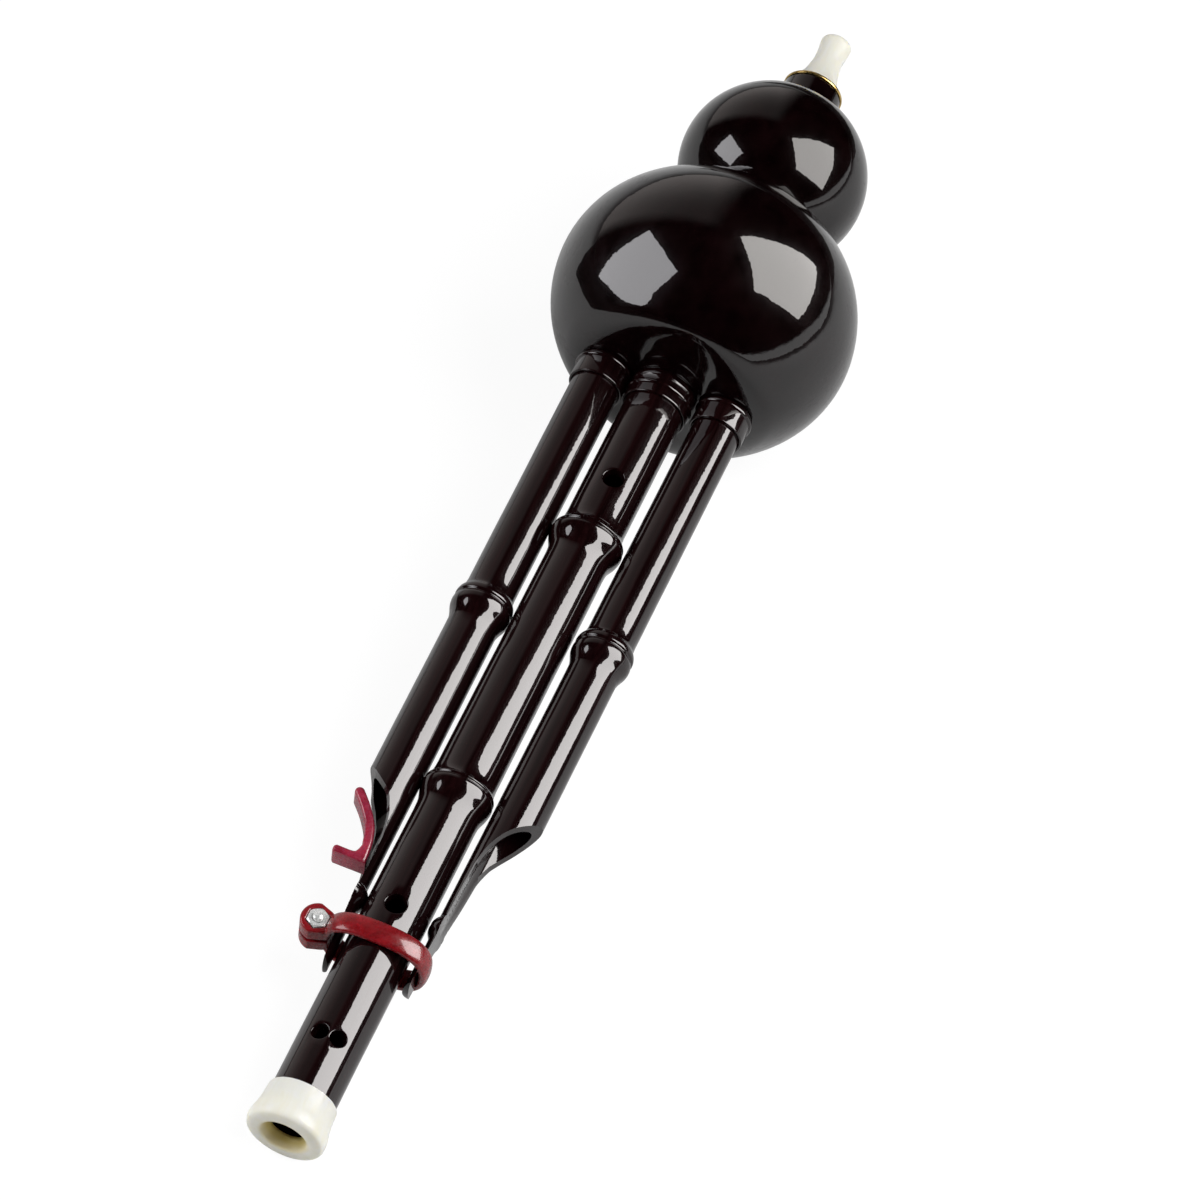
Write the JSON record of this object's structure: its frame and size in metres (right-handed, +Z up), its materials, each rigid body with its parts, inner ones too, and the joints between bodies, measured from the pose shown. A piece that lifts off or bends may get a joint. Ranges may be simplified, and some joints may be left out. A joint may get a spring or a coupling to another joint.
{
  "type": "gourd reed pipe",
  "caption": "Hulusi: a reed wind instrument with a double-bulb gourd air chamber, a fingered cane melody pipe, paired drones, a clamp band and a thumb rest.",
  "frame": {"origin": "middle of the footprint, on the floor under the instrument as it lies on its belly", "axes": "+Y from the bell towards the gourd and mouthpiece, +Z up, on the thumb-hole side, +X to the side away from the thumb rest"},
  "size_m": [0.0918, 0.4162, 0.0918],
  "materials": {
    "lacquered_gourd": "high-gloss black-maroon lacquer",
    "lacquered_cane": "high-gloss black-maroon lacquer over cane",
    "red_plastic": "glossy moulded",
    "ivory_plastic": "ivory-coloured, satin",
    "steel": "bright plated",
    "brass": "rolled",
    "wax": "beeswax and rosin",
    "cork": "matte cork"
  },
  "bodies": {
    "gourd": {"gourd_lower_bulb": "lacquered_gourd", "gourd_upper_bulb": "lacquered_gourd", "waist_ring": "lacquered_gourd", "neck_ring": "brass", "main_collar": "lacquered_cane", "left_drone_collar": "lacquered_cane", "right_drone_collar": "lacquered_cane", "main_seal": "wax", "left_drone_seal": "wax", "right_drone_seal": "wax"},
    "mouthpiece": {"mouthpiece": "ivory_plastic"},
    "melody_pipe": {"main_pipe": "lacquered_cane", "main_reed": "brass", "main_top_plug": "cork"},
    "bell_cap": {"bell_cap": "ivory_plastic"},
    "left_drone": {"left_drone_pipe": "lacquered_cane", "left_drone_reed": "brass", "left_drone_plug": "cork", "thumb_rest": "red_plastic"},
    "right_drone": {"right_drone_pipe": "lacquered_cane", "right_drone_reed": "brass", "right_drone_plug": "cork"},
    "clamp_band": {"clamp_band": "red_plastic"},
    "clamp_screw": {"clamp_screw": "steel"},
    "clamp_nut": {"clamp_nut": "steel"}
  },
  "joints": [
    {"name": "melody_pipe_slide", "type": "slide", "parent": "gourd", "child": "melody_pipe", "axis": [0, -0.9932, -0.1164], "range_m": [0, 0.015]},
    {"name": "left_drone_slide", "type": "slide", "parent": "gourd", "child": "left_drone", "axis": [0.0057, -0.9932, -0.1164], "range_m": [0, 0.004]},
    {"name": "right_drone_slide", "type": "slide", "parent": "gourd", "child": "right_drone", "axis": [-0.0057, -0.9932, -0.1164], "range_m": [0, 0.004]},
    {"name": "mouthpiece_slide", "type": "slide", "parent": "gourd", "child": "mouthpiece", "axis": [0, 0.9932, 0.1164], "range_m": [0, 0.01]},
    {"name": "bell_cap_slide", "type": "slide", "parent": "melody_pipe", "child": "bell_cap", "axis": [0, -0.9932, -0.1164], "range_m": [0, 0.008]},
    {"name": "clamp_slide", "type": "slide", "parent": "melody_pipe", "child": "clamp_band", "axis": [0, -0.9932, -0.1164], "range_m": [0, 0.04]},
    {"name": "clamp_screw_turn", "type": "hinge", "parent": "clamp_band", "child": "clamp_screw", "pos_m": [-0.0178, -0.14592, 0.01805], "axis": [0, 0.1164, -0.9932], "range_deg": [0, 1080]},
    {"name": "clamp_nut_slide", "type": "slide", "parent": "clamp_band", "child": "clamp_nut", "axis": [0, -0.1164, 0.9932], "range_m": [0, 0.0021]}
  ],
  "couplings": [
    {"joint": "clamp_screw_turn", "follows": "clamp_nut_slide", "rad_per_m": 8976}
  ]
}
